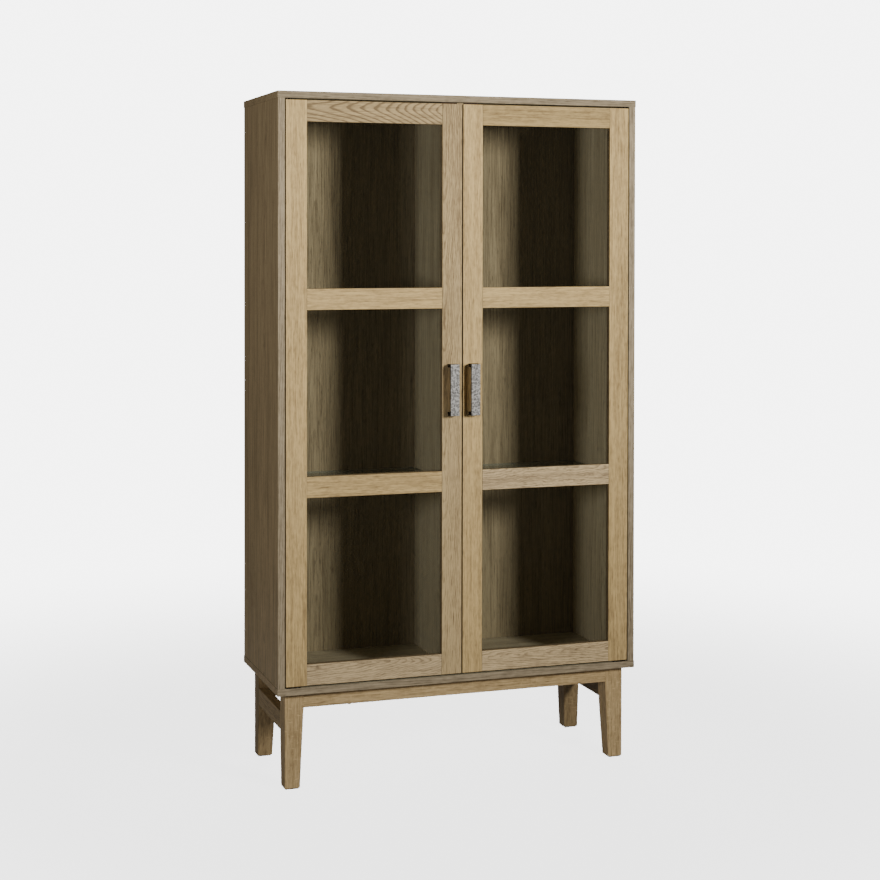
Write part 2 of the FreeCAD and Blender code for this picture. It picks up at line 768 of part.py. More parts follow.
def strike_plate(side, sign):
    x = widen((f"{sign} * catch_aside",) * 2, "strike_long / 2")
    z = along(-1, "door_high", "strike_tall")
    node(f"strike_plate_{side}", block(x, ("door_back", "strike_back"), z))


def build():
    fill_sheet()
    top_panel()
    bottom_panel()
    for side, sign in SIDES:
        side_panel(side, sign)
    centre_divider()
    back_panel()
    carcass_tenons()
    shelves()
    shelf_pins()
    for end in ENDS:
        for side, sign in SIDES:
            leg(end, side, sign)
        apron(end)
    for side, sign in SIDES:
        side_rail(side, sign)
    base_screws()
    leg_glides()
    for side, sign in SIDES:
        stile_outer(side, sign)
        stile_inner(side, sign)
        for level in range(PANES + 1):
            door_rail(side, sign, level)
        panes(side, sign)
        glass_beads(side, sign)
        handle(side, sign)
        handle_screws(side, sign)
        pivot_plates(side, sign)
        pivot_sockets(side, sign)
        strike_plate(side, sign)
    magnetic_catches()
    doc.recompute()


def check():
    """Stop on any object that failed, and on any sub-part that is empty or not valid."""
    for thing in doc.Objects:
        if "Invalid" in thing.State or "Error" in thing.State:
            raise RuntimeError(f"{thing.Label} failed: {thing.State}")
    for thing in nodes:
        if thing.Shape.isNull() or not thing.Shape.isValid() or not thing.Shape.Solids:
            raise RuntimeError(f"{thing.Label} has no valid shape")


def write():
    """One STEP file for each sub-part."""
    os.makedirs("parts", exist_ok=True)
    for thing in nodes:
        thing.Shape.exportStep(f"parts/{thing.Label}.step")
        print(f"{thing.Label}: {len(thing.Shape.Solids)} solid(s), {thing.Shape.Volume:.0f} mm3")


build()
check()
write()
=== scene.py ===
import json
import math

import bmesh
import bpy
from bpy.props import FloatProperty, FloatVectorProperty, PointerProperty
from mathutils import Matrix, Vector


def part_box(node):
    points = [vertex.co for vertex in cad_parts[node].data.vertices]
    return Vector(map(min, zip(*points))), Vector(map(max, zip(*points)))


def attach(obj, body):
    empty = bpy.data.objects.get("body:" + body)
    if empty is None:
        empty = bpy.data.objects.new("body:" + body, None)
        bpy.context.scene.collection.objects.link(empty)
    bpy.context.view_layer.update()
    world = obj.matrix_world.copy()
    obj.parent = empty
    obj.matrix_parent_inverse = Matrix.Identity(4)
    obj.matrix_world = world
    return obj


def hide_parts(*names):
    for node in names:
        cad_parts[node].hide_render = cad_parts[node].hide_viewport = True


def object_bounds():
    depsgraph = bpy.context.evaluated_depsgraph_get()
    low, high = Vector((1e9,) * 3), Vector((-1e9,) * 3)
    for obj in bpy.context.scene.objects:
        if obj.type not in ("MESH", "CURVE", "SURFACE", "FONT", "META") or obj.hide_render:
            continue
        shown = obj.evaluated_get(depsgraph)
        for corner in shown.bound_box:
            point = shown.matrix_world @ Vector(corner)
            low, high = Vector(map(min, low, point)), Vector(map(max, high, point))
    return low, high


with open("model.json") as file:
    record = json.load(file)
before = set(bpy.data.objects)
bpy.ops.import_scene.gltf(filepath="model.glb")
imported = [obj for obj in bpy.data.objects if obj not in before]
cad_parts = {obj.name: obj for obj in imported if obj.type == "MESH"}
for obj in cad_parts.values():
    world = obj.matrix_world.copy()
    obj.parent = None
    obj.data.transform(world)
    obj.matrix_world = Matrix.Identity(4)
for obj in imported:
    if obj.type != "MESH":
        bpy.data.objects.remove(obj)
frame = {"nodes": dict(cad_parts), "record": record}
CAD_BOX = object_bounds()

bl_info = {
    "name": "Oak display cabinet",
    "version": (1, 0, 0),
    "blender": (4, 5, 0),
    "location": "View3D > Sidebar > Cabinet",
    "description": "Dresses a display cabinet in oak, glass and hammered iron, and lights it",
    "category": "Object",
}

RECORD = frame["record"]
BODY = {node: body for body, nodes in RECORD["behaviour"]["bodies"].items() for node in nodes}
SIDES = {"left": -1, "right": 1}  # Which way each side lies along x.
MM = 0.001
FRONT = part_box("bottom_panel")[0].y  # Of the carcass, along y.
CORE = (Vector(CAD_BOX[0]) + Vector(CAD_BOX[1])) / 2  # The middle of the cabinet.


# Shader maths

# A Mix node's sockets go by number, because the kinds of value that it mixes share their names.
MIX_SHARE = 0
MIX_FIRST = 6
MIX_SECOND = 7
MIX_COLOUR = 2


class Wire:
    """A node's socket that Python sums work on. Each sum adds its Math node."""

    def __init__(self, nodes, socket):
        self.nodes = nodes
        self.socket = socket

    def sum(self, operation, *terms):
        """The terms' Math node, as a wire."""
        return self.nodes.add("ShaderNodeMath", {"operation": operation}, dict(enumerate(terms)))

    def __add__(self, other):
        return self.sum("ADD", self, other)

    def __radd__(self, other):
        return self.sum("ADD", other, self)

    def __sub__(self, other):
        return self.sum("SUBTRACT", self, other)

    def __rsub__(self, other):
        return self.sum("SUBTRACT", other, self)

    def __mul__(self, other):
        return self.sum("MULTIPLY", self, other)

    def __rmul__(self, other):
        return self.sum("MULTIPLY", other, self)

    def __pow__(self, other):
        return self.sum("POWER", self, other)

    def __rpow__(self, other):
        return self.sum("POWER", other, self)

    def fraction(self):
        return self.sum("FRACT", self)

    def between(self, low, high):
        """0 below low, 1 above high and a smooth step from one to the other."""
        settings = {"interpolation_type": "SMOOTHSTEP"}
        inputs = {"Value": self, "From Min": low, "From Max": high}
        return self.nodes.add("ShaderNodeMapRange", settings, inputs)


class Nodes:
    """The node tree of a material or a world, and the one way in which nodes come into it."""

    def __init__(self, owner):
        owner.use_nodes = True
        self.tree = owner.node_tree
        self.tree.nodes.clear()

    def add(self, kind, settings=None, inputs=None, output=0):
        """A node with its settings, then its sockets' values or links. Gives one output as a wire."""
        node = self.tree.nodes.new(kind)
        for key, value in (settings or {}).items():
            setattr(node, key, value)
        for key, value in (inputs or {}).items():
            if isinstance(value, Wire):
                self.tree.links.new(value.socket, node.inputs[key])
            else:
                node.inputs[key].default_value = value
        return Wire(self, node.outputs[output]) if node.outputs else None


class Finish(Nodes):
    """One material's nodes and the object coordinates that they read."""

    def __init__(self, name):
        self.material = bpy.data.materials.new(name)
        super().__init__(self.material)
        self.place = self.add("ShaderNodeTexCoord", output="Object")

    def split(self, vector):
        """The three parts of a vector."""
        first = self.add("ShaderNodeSeparateXYZ", None, {"Vector": vector})
        return tuple(Wire(self, socket) for socket in first.socket.node.outputs)

    def mapped(self, vector, turn=(0, 0, 0), shift=(0, 0, 0), scale=(1, 1, 1)):
        """The vector scaled, then turned, then shifted."""
        inputs = {"Vector": vector, "Location": shift, "Rotation": turn, "Scale": scale}
        return self.add("ShaderNodeMapping", None, inputs)

    def noise(self, vector, waves, detail, roughness, shift=(0, 0, 0)):
        """Soft noise with so many waves to the metre along each axis."""
        spread = self.mapped(vector, shift=shift, scale=waves)
        inputs = {"Vector": spread, "Scale": 1.0, "Detail": detail, "Roughness": roughness}
        return self.add("ShaderNodeTexNoise", None, inputs)

    def cells(self, vector, waves):
        """Round cells, so many to the metre along each axis."""
        inputs = {"Vector": self.mapped(vector, scale=waves), "Scale": 1.0}
        return self.add("ShaderNodeTexVoronoi", {"feature": "SMOOTH_F1"}, inputs)

    def blend(self, share, first, second):
        inputs = {MIX_SHARE: share, MIX_FIRST: first, MIX_SECOND: second}
        return self.add("ShaderNodeMix", {"data_type": "RGBA"}, inputs, MIX_COLOUR)

    def speckled(self, share, colour, low, high):
        """The colour from a low tone of it to a high one."""
        return self.blend(share, rgba(colour, low), rgba(colour, high))

    def bump(self, height, strength, distance):
        inputs = {"Strength": strength, "Distance": distance, "Height": height}
        return self.add("ShaderNodeBump", None, inputs)

    def shade(self, **inputs):
        named = {key.replace("_", " "): value for key, value in inputs.items()}
        surface = self.add("ShaderNodeBsdfPrincipled", None, named)
        self.add("ShaderNodeOutputMaterial", None, {"Surface": surface})
        return self.material


def greyed(colour, share):
    """The colour, part of the way to a grey as bright."""
    mean = sum(colour) / len(colour)
    return tuple(part + (mean - part) * share for part in colour)


def rgba(colour, tone=1.0):
    """The colour at a tone, as a socket takes it."""
    return (colour[0] * tone, colour[1] * tone, colour[2] * tone, 1.0)


# The wood

GRAIN_TURN = {"x": (0, -math.pi / 2, 0), "y": (math.pi / 2, 0, 0), "z": (0, 0, 0)}

# Noises in the oak: waves to the metre across, through and along the grain, detail and roughness.
NOISES = {
    "warp": ((16, 16, 5), 2.0, 0.5),
    "swirl": ((45, 45, 22), 3.0, 0.6),
    "fine": ((430, 430, 4), 3.0, 0.7),
    "lines": ((190, 190, 5), 2.0, 0.6),
    "bands": ((30, 30, 1.6), 2.0, 0.5),
    "mottle": ((140, 140, 60), 3.0, 0.6),
    "pores": ((480, 480, 38), 1.0, 0.5),
    "rays": ((60, 300, 190), 2.0, 0.5),
    "burl": ((55, 55, 26), 3.0, 0.6),
}
DASH_WAVES = 18  # What full dashes add to the waves of the fine noise along the grain.
SEED_STEPS = (3.1, 1.7, 2.3)  # How far a seed of 1 moves the noises.
NOISE_MIDDLE = 0.5

# Where in its noise a spot begins and is full, and its tone beside the wood's.
SPOT_STEPS = {"pores": (0.6, 0.72), "rays": (0.6, 0.7), "burl": (0.6, 0.72)}
SPOT_TONES = {"pores": 0.45, "rays": 1.25, "burl": 0.42}
PORE_SHARE = 0.3  # A pore takes on this share of its tone, and twice that in late wood.

WARP_REACH = 3  # The warp bends the rings this many times as far as the swirl does.
KNOT_REACH = 0.012  # How far full knots let the swirl bend the rings, in metres.
LATE_RISE = (0.4, 0.84)  # The part of a ring over which late wood sets in.
LATE_FALL = (0.85, 0.97)  # The part over which it ends.

# How far each of these takes the wood from its light colour towards its dark one.
DARKENS = {"ground": 0.27, "fine": 2.1, "lines": 1.1, "mottle": 0.9, "bands": 0.7}
DEPTHS = {"fine": 0.5, "pores": 0.8, "late": 0.3}  # How deep these mark the surface,
RELIEF = {"strength": 0.22, "distance": 0.6 * MM}  # and how strongly the marks show.
ROUGHENS = {"oil": 0.5, "fine": 0.14, "pores": 0.15}
OIL_GLOSS = 0.35


def oak(name, grain, light, dark, centre, seed, figure=0.3, rings=300.0, slope=0.02, pith=0.05,
        aside=0.09, wave=0.004, taper=0.0, flare=0.0, tone=1.0, grey=0.0, dashes=1.0, flecks=0.0,
        knots=0.0, drift=0.0):
    """Oiled oak whose grain runs along one axis.

    So many rings to the metre lie round a pith that runs aside of the board, at a depth and with a
    slope: far aside they show as straight lines, near it as nested arches. They wander by a wave, and
    taper and flare along the pith. The figure is how strongly they show. Streaks, dashes, open pores,
    pale flecks and knots lie over them. With a drift the board darkens slowly along its length.
    """
    light = greyed(light, grey)
    dark = greyed(dark, grey)
    finish = Finish(name)
    middle = finish.mapped(finish.place, shift=tuple(-part for part in centre))
    along = finish.mapped(middle, turn=GRAIN_TURN[grain])
    shift = tuple(seed * step for step in SEED_STEPS)

    def noise(kind, more=0):
        (across_waves, through_waves, along_waves), detail, roughness = NOISES[kind]
        waves = (across_waves, through_waves, along_waves + more)
        return finish.noise(along, waves, detail, roughness, shift)

    def streaks(kind, more=0):
        return noise(kind, more) - NOISE_MIDDLE

    def spots(kind):
        return noise(kind).between(*SPOT_STEPS[kind])

    across, depth, length = finish.split(along)
    bend = streaks("warp") * wave * WARP_REACH + streaks("swirl") * (wave + knots * KNOT_REACH)
    reach = across + (aside + bend)
    sink = depth + length * slope + (pith + bend)
    ring = ((reach * reach + sink * sink) ** 0.5 - length * (taper + length * flare)) * rings
    phase = ring.fraction()
    late = phase.between(*LATE_RISE) * (1 - phase.between(*LATE_FALL))
    fine = streaks("fine", DASH_WAVES * dashes)
    pores = spots("pores")
    dusk = DARKENS["ground"] + late * figure + fine * DARKENS["fine"]
    dusk = dusk + streaks("lines") * DARKENS["lines"] + streaks("mottle") * (DARKENS["mottle"] * dashes)
    dusk = dusk + streaks("bands") * DARKENS["bands"] + length * drift
    colour = finish.blend(dusk, rgba(light, tone), rgba(dark, tone))
    share = pores * (PORE_SHARE + PORE_SHARE * late)
    colour = finish.blend(share, colour, rgba(dark, tone * SPOT_TONES["pores"]))
    if flecks:
        share = spots("rays") * flecks
        colour = finish.blend(share, colour, rgba(light, tone * SPOT_TONES["rays"]))
    if knots:
        share = spots("burl") * late * knots
        colour = finish.blend(share, colour, rgba(dark, tone * SPOT_TONES["burl"]))
    height = fine * DEPTHS["fine"] - pores * DEPTHS["pores"] - late * DEPTHS["late"]
    rough = ROUGHENS["oil"] + fine * ROUGHENS["fine"] + pores * ROUGHENS["pores"]
    return finish.shade(Base_Color=colour, Roughness=rough, Normal=finish.bump(height, **RELIEF),
                        Specular_IOR_Level=OIL_GLOSS)


# Meshes

TOUCHING = 0.01 * MM  # Points nearer to each other than this are one point.
FLAT = math.radians(1)  # Faces that meet at less than this are one face.
SHARP = math.radians(40)  # Edges that turn by more than this are rounded.


def merged(node):
    """A merged copy of a CAD node's mesh, its flat triangles joined into faces."""
    form = bmesh.new()
    form.from_mesh(frame["nodes"][node].data)
    bmesh.ops.remove_doubles(form, verts=form.verts, dist=TOUCHING)
    bmesh.ops.dissolve_limit(form, angle_limit=FLAT, use_dissolve_boundaries=False,
                             verts=form.verts, edges=form.edges, delimit={"NORMAL"})
    return form


def block(form, centre, size):
    """Add a box to the form."""
    made = bmesh.ops.create_cube(form, size=1.0)
    bmesh.ops.scale(form, vec=size, verts=made["verts"])
    bmesh.ops.translate(form, vec=centre, verts=made["verts"])


def soften(form, arris, least=6 * MM):
    """Round the sharp outer edges that are longer than the least length."""
    edges = [edge for edge in form.edges
             if len(edge.link_faces) == 2 and edge.is_convex and edge.calc_length() > least
             and edge.calc_face_angle() > SHARP]
    bmesh.ops.bevel(form, geom=edges, offset=arris, offset_type="OFFSET", segments=2,
                    profile=0.5, affect="EDGES", clamp_overlap=True, material=-1)
    bmesh.ops.remove_doubles(form, verts=form.verts, dist=TOUCHING)


def finished(form, name, materials, node):
    """The form as an object that rides where the node does."""
    mesh = bpy.data.meshes.new(name)
    for face in form.faces:
        face.smooth = False
    form.to_mesh(mesh)
    form.free()
    piece = bpy.data.objects.new(name, mesh)
    bpy.context.scene.collection.objects.link(piece)
    for material in materials:
        mesh.materials.append(material)
    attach(piece, BODY[node])
    return piece


def paint(node, material):
    """Give a CAD node that keeps its shape its material."""
    slots = frame["nodes"][node].data.materials
    slots.clear()
    slots.append(material)


def middle_of(node):
    low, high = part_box(node)
    return (low + high) / 2


# What a user may change

class CabinetFinish(bpy.types.PropertyGroup):
    """Colours of the woods, the metals and the glass."""
    door_light: FloatVectorProperty(
        name="Door oak, light", description="Early wood of the door frames",
        default=(0.62, 0.435, 0.19), min=0, max=1, subtype="COLOR")
    door_dark: FloatVectorProperty(
        name="Door oak, dark", description="Late wood of the door frames",
        default=(0.255, 0.17, 0.078), min=0, max=1, subtype="COLOR")
    carcass_light: FloatVectorProperty(
        name="Carcass oak, light", description="Early wood of outer faces and of the doors' edges",
        default=(0.46, 0.34, 0.185), min=0, max=1, subtype="COLOR")
    carcass_dark: FloatVectorProperty(
        name="Carcass oak, dark", description="Late wood of outer faces and of the doors' edges",
        default=(0.16, 0.11, 0.058), min=0, max=1, subtype="COLOR")
    # The wall oak is a greyer copy of the carcass oak and the back oak a darker one, for the faces
    # inside the cabinet: painted shade.
    wall_light: FloatVectorProperty(
        name="Wall oak, light", description="Early wood of the panels' inner faces",
        default=(0.46, 0.41, 0.27), min=0, max=1, subtype="COLOR")
    wall_dark: FloatVectorProperty(
        name="Wall oak, dark", description="Late wood of the panels' inner faces",
        default=(0.21, 0.17, 0.10), min=0, max=1, subtype="COLOR")
    back_light: FloatVectorProperty(
        name="Back oak, light", description="Early wood of the back panel",
        default=(0.33, 0.27, 0.155), min=0, max=1, subtype="COLOR")
    back_dark: FloatVectorProperty(
        name="Back oak, dark", description="Late wood of the back panel",
        default=(0.1, 0.075, 0.04), min=0, max=1, subtype="COLOR")
    edge_light: FloatVectorProperty(
        name="Edge oak, light", description="Early wood of the panels' front edges",
        default=(0.42, 0.335, 0.215), min=0, max=1, subtype="COLOR")
    edge_dark: FloatVectorProperty(
        name="Edge oak, dark", description="Late wood of the panels' front edges",
        default=(0.17, 0.13, 0.08), min=0, max=1, subtype="COLOR")
    base_light: FloatVectorProperty(
        name="Base oak, light", description="Early wood of legs and aprons",
        default=(0.56, 0.40, 0.20), min=0, max=1, subtype="COLOR")
    base_dark: FloatVectorProperty(
        name="Base oak, dark", description="Late wood of legs and aprons",
        default=(0.23, 0.15, 0.065), min=0, max=1, subtype="COLOR")
    glass: FloatVectorProperty(
        name="Glass", description="Tint of the door panes",
        default=(0.07, 0.065, 0.045), min=0, max=1, subtype="COLOR")
    glass_edge: FloatVectorProperty(
        name="Glass edge", description="Tint of the glass shelves and their ground edges",
        default=(0.33, 0.36, 0.26), min=0, max=1, subtype="COLOR")
    iron_light: FloatVectorProperty(
        name="Iron, light", description="High spots of the hammered handles",
        default=(0.86, 0.835, 0.78), min=0, max=1, subtype="COLOR")
    iron_dark: FloatVectorProperty(
        name="Iron, dark", description="Hollows of the hammered handles",
        default=(0.28, 0.265, 0.245), min=0, max=1, subtype="COLOR")
    steel: FloatVectorProperty(
        name="Steel", description="Pins and screws",
        default=(0.55, 0.55, 0.54), min=0, max=1, subtype="COLOR")
    # Painted shade: the plates are dark brown so that, in the gaps, they read as the gaps' shade.
    gap_shade_dark: FloatVectorProperty(
        name="Gap shade steel", description="Hinge and strike plates",
        default=(0.085, 0.06, 0.04), min=0, max=1, subtype="COLOR")
    # Painted shade: the handles' feet and backs are near black so that they read as shaded.
    blackened: FloatVectorProperty(
        name="Shade black iron", description="Feet and backs of the handles",
        default=(0.035, 0.03, 0.026), min=0, max=1, subtype="COLOR")
    plastic: FloatVectorProperty(
        name="Catch case", description="Plastic of the magnetic catches",
        default=(0.09, 0.055, 0.035), min=0, max=1, subtype="COLOR")
    felt: FloatVectorProperty(
        name="Felt", description="Pads under the legs",
        default=(0.06, 0.055, 0.05), min=0, max=1, subtype="COLOR")


class CabinetMaking(bpy.types.PropertyGroup):
    """Small sizes of the dressed pieces."""
    arris: FloatProperty(
        name="Arris", description="Rounding of the panels' and legs' edges",
        default=0.0006, min=0, soft_max=0.003, unit="LENGTH")
    joint: FloatProperty(
        name="Joint line", description="Rounding of the door frames' edges",
        default=0.0006, min=0, soft_max=0.002, unit="LENGTH")
    pane_arris: FloatProperty(
        name="Shelf arris", description="Ground edge of the glass shelves",
        default=0.0005, min=0, soft_max=0.002, unit="LENGTH")
    iron_arris: FloatProperty(
        name="Handle arris", description="Rounding of the handles' edges",
        default=0.0008, min=0, soft_max=0.002, unit="LENGTH")


class CabinetStudio(bpy.types.PropertyGroup):
    """The camera and the lights."""
    camera_place: FloatVectorProperty(
        name="Camera", description="Where the camera stands",
        default=(-1.55724, -4.59581, 1.42868), subtype="TRANSLATION", unit="LENGTH")
    camera_turn: FloatProperty(
        name="Turn", description="How far the camera looks to the right of straight ahead",
        default=math.radians(18.7223), subtype="ANGLE")
    camera_tilt: FloatProperty(
        name="Tilt", description="How far the camera looks up",
        default=math.radians(-0.944), subtype="ANGLE")
    camera_roll: FloatProperty(
        name="Roll", description="How far the camera leans",
        default=math.radians(0.0888), subtype="ANGLE")
    lens: FloatProperty(
        name="Lens", description="Focal length on a 36 mm frame",
        default=72.491, unit="CAMERA")
    rise: FloatProperty(
        name="Rise", description="Vertical shift of the frame",
        default=-0.19812)
    key_place: FloatVectorProperty(
        name="Key light", description="Where the large soft light stands",
        default=(1.67, -3.46, 1.9), subtype="TRANSLATION", unit="LENGTH")
    key_power: FloatProperty(
        name="Key power", description="Power of the key light",
        default=76.0, unit="POWER")
    fill_place: FloatVectorProperty(
        name="Fill light", description="Where the weaker light stands",
        default=(-2.85, -2.4, 1.35), subtype="TRANSLATION", unit="LENGTH")
    fill_power: FloatProperty(
        name="Fill power", description="Power of the weaker light",
        default=15.4, unit="POWER")
    rear_power: FloatProperty(
        name="Rear power", description="Power of the light behind the cabinet",
        default=110.0, unit="POWER")
    ambient: FloatProperty(
        name="Ambient", description="Light from the room all round",
        default=0.034)
    backdrop: FloatProperty(
        name="Backdrop", description="Brightness of the backdrop",
        default=6.0)


# Boards

EDGE_TONE = 0.9  # The panels' front edges.
OUTER_TONE = 1.2  # The panels' outer faces.
DOOR_EDGE_SHADE_TONE = 0.5  # The door boards' edges, which stand in the gaps: painted shade of the gaps.
PANEL_DASHES = 0.2  # The share of the dashes that the panels' wide faces have.
EDGE_SEED = 0.5  # What an edge's seed has over its board's.

# What tells the faces apart. A door board's edges turn from y by more than its face does. A panel's
# front edge points to the front and lies close behind the carcass's front. Its outer faces look
# outwards and lie farther than this from the middle of the cabinet, in metres.
DOOR_FACE = 0.95
PANEL_FRONT = 0.9
FRONT_DEPTH = 2 * MM
OUTWARD = 0.15

# The boards of each group: node, own name, axis of the grain, kind of oak and how the board was cut. A
# cut near the pith gives arches, and one far aside of it straight lines. A board's seed is its place in
# the group, counted from the group's first seed.
FIRST_SEED = {"carcass": 1, "tenons": 7, "base": 11, "doors": 31}
CARCASS_BOARDS = (
    ("top_panel", "top_board", "x", "wall", dict(edge=0.72)),
    ("bottom_panel", "bottom_board", "x", "wall", {}),
    ("side_panel_left", "side_board_left", "z", "wall", {}),
    # Its inner face is toned up: painted light on the right wall of the right bay.
    ("side_panel_right", "side_board_right", "z", "wall", dict(tone=1.12, drift=0.1)),
    ("centre_divider", "divider_board", "z", "wall", dict(tone=0.95, drift=0.3)),
    ("back_panel", "back_board", "z", "back",
     dict(figure=0.2, slope=0.01, aside=0.3, tone=0.88, drift=0.12)),
)
BASE_BOARDS = (
    ("leg_front_left", "leg_post_front_left", "z", "base", dict(flecks=0.45, tone=0.97)),
    ("leg_front_right", "leg_post_front_right", "z", "base", dict(flecks=0.45, tone=1.02)),
    ("apron_front", "apron_board_front", "x", "base", dict(flecks=0.25)),
    # The rear legs, the rear apron and the side rails are toned down: painted shade under the carcass.
    ("leg_rear_left", "leg_post_rear_left", "z", "base", dict(flecks=0.45, tone=0.62)),
    ("leg_rear_right", "leg_post_rear_right", "z", "base", dict(flecks=0.45, tone=0.6)),
    ("apron_rear", "apron_board_rear", "x", "base", dict(flecks=0.25, tone=0.45)),
    ("side_rail_left", "side_rail_board_left", "y", "base", dict(tone=0.76)),
    ("side_rail_right", "side_rail_board_right", "y", "base", dict(tone=0.4)),
)
DOOR_BOARDS = (
    ("stile_outer_left", "hinge_stile_left", "z", "door",
     dict(figure=0.16, slope=0.004, aside=0.11)),
    ("stile_inner_left", "closing_stile_left", "z", "door",
     dict(figure=0.4, rings=200.0, slope=0.0, pith=0.02, aside=0.024, wave=0.006, taper=0.05,
          tone=0.85, grey=0.12, drift=0.4)),
    ("rail_top_left", "cross_rail_top_left", "x", "door",
     dict(figure=0.85, rings=95.0, slope=0.0, pith=0.003, aside=0.011, wave=0.005, taper=0.34,
          flare=0.6, tone=0.76, grey=0.12)),
    ("rail_middle_upper_left", "cross_rail_middle_upper_left", "x", "door",
     dict(figure=0.12, slope=0.01, aside=0.13)),
    ("rail_middle_lower_left", "cross_rail_middle_lower_left", "x", "door",
     dict(figure=0.25, slope=0.02, aside=0.07, wave=0.006)),
    ("rail_bottom_left", "cross_rail_bottom_left", "x", "door",
     dict(figure=0.5, rings=190.0, slope=0.0, pith=0.006, aside=0.018, wave=0.007, taper=-0.14,
          flare=-0.3, tone=1.06, grey=0.22, knots=0.7)),
    ("glass_beads_left", "pane_strips_left", "z", "door", {}),
    ("stile_outer_right", "hinge_stile_right", "z", "door",
     dict(figure=0.22, slope=0.006, aside=0.1, tone=0.93)),
    ("stile_inner_right", "closing_stile_right", "z", "door",
     dict(figure=0.2, slope=0.005, aside=0.12)),
    ("rail_top_right", "cross_rail_top_right", "x", "door",
     dict(figure=0.25, slope=0.03, aside=0.08, tone=0.72)),
    ("rail_middle_upper_right", "cross_rail_middle_upper_right", "x", "door",
     dict(figure=0.22, slope=0.03, aside=0.07)),
    ("rail_middle_lower_right", "cross_rail_middle_lower_right", "x", "door",
     dict(figure=0.5, slope=0.05, aside=0.03, wave=0.006, tone=1.1, grey=0.2, knots=0.3)),
    ("rail_bottom_right", "cross_rail_bottom_right", "x", "door",
     dict(figure=0.5, rings=170.0, slope=0.0, pith=0.006, aside=0.008, wave=0.007, taper=0.1,
          tone=1.12, grey=0.2, knots=0.6)),
    ("glass_beads_right", "pane_strips_right", "z", "door", {}),
)


def board(node, name, grain, kind, seed, arris, edge=EDGE_TONE, **cut):
    """One board as a new piece, with softened edges and its own oak.

    A panel's front edge and outer faces have oaks of their own, and its inner faces a greyer copy,
    painted shade. A door board's edges have a darker oak of their own: painted shade of the gaps.
    """
    colours = bpy.context.scene.cabinet_finish
    light = getattr(colours, f"{kind}_light")
    dark = getattr(colours, f"{kind}_dark")
    centre = tuple(middle_of(node))
    panel = kind in ("wall", "back")
    if panel:
        cut = {"dashes": PANEL_DASHES, **cut}
    form = merged(node)
    soften(form, arris)
    materials = [oak(f"{name}_oak", grain, light, dark, centre, seed, **cut)]
    # A door board's edges get a darker copy of the carcass oak: painted shade of the gaps round the
    # doors.
    if kind == "door":
        materials.append(oak(f"{name}_side_oak", grain, colours.carcass_light, colours.carcass_dark,
                             centre, seed + EDGE_SEED, tone=DOOR_EDGE_SHADE_TONE))
        for face in form.faces:
            if abs(face.normal.y) < DOOR_FACE:
                face.material_index = 1
    # A panel's inner faces keep the wall or back oak: painted shade of the cabinet's inside, beside the
    # outer faces' carcass oak.
    if panel:
        materials.append(oak(f"{name}_edge_oak", grain, colours.edge_light, colours.edge_dark,
                             centre, seed + EDGE_SEED, tone=edge))
        materials.append(oak(f"{name}_outer_oak", grain, colours.carcass_light, colours.carcass_dark,
                             centre, seed, tone=OUTER_TONE, dashes=PANEL_DASHES))
        for face in form.faces:
            spot = face.calc_center_median()
            if face.normal.y < -PANEL_FRONT and spot.y < FRONT + FRONT_DEPTH:
                face.material_index = 1
            elif face.normal.dot(spot - CORE) > OUTWARD:
                face.material_index = 2
    piece = finished(form, name, materials, node)
    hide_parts(node)


def boards(rows, group, arris):
    """The boards of a group, each with a seed of its own."""
    for seed, (node, name, grain, kind, cut) in enumerate(rows, FIRST_SEED[group]):
        board(node, name, grain, kind, seed, arris, **cut)


class CABINET_OT_carcass(bpy.types.Operator):
    """Panels, divider and back"""
    bl_idname = "cabinet.carcass"
    bl_label = "Carcass"

    def execute(self, context):
        boards(CARCASS_BOARDS, "carcass", context.scene.cabinet_making.arris)
        colours = context.scene.cabinet_finish
        paint("carcass_tenons", oak("tenon_beech", "z", colours.door_light, colours.door_dark,
                                    (0, 0, 0), FIRST_SEED["tenons"]))
        return {"FINISHED"}


class CABINET_OT_base(bpy.types.Operator):
    """Legs, aprons, side rails and the felt pads under the legs"""
    bl_idname = "cabinet.base"
    bl_label = "Base"

    def execute(self, context):
        boards(BASE_BOARDS, "base", context.scene.cabinet_making.arris)
        paint("leg_glides", felt())
        return {"FINISHED"}


def felt():
    """Pressed felt, with a soft fuzz."""
    finish = Finish("glide_felt")
    fuzz = finish.noise(finish.place, waves=(1400, 1400, 1400), detail=3.0, roughness=0.7)
    colour = finish.speckled(fuzz, bpy.context.scene.cabinet_finish.felt, low=0.6, high=1.5)
    normal = finish.bump(fuzz, strength=0.5, distance=0.6 * MM)
    return finish.shade(Base_Color=colour, Roughness=0.95, Normal=normal)


class CABINET_OT_doors(bpy.types.Operator):
    """Stiles, rails and glass beads of both doors"""
    bl_idname = "cabinet.doors"
    bl_label = "Door frames"

    def execute(self, context):
        boards(DOOR_BOARDS, "doors", context.scene.cabinet_making.joint)
        return {"FINISHED"}


# Glass and metal

GLASS = {"Roughness": 0.03, "IOR": 1.5}
GLANCING = 4  # How late the glass's own tint sets in towards a low angle.
SHELF_TONE = 0.5  # The tone of a shelf's broad faces beside its edges' tint.
LEVEL = 0.9  # A shelf's face whose normal stands up or down more than this is a broad face.
MARKS_ROUGHEN = 0.12  # How far its fine marks roughen the steel.


def clear_glass(name, tint, haze, glance):
    """Clear float glass: a haze of its tint from the front, and so much more at a glancing angle."""
    finish = Finish(name)
    facing = finish.add("ShaderNodeLayerWeight", None, {"Blend": 0.5}, "Facing")
    return finish.shade(Base_Color=tint, Alpha=haze + facing ** GLANCING * glance, **GLASS)


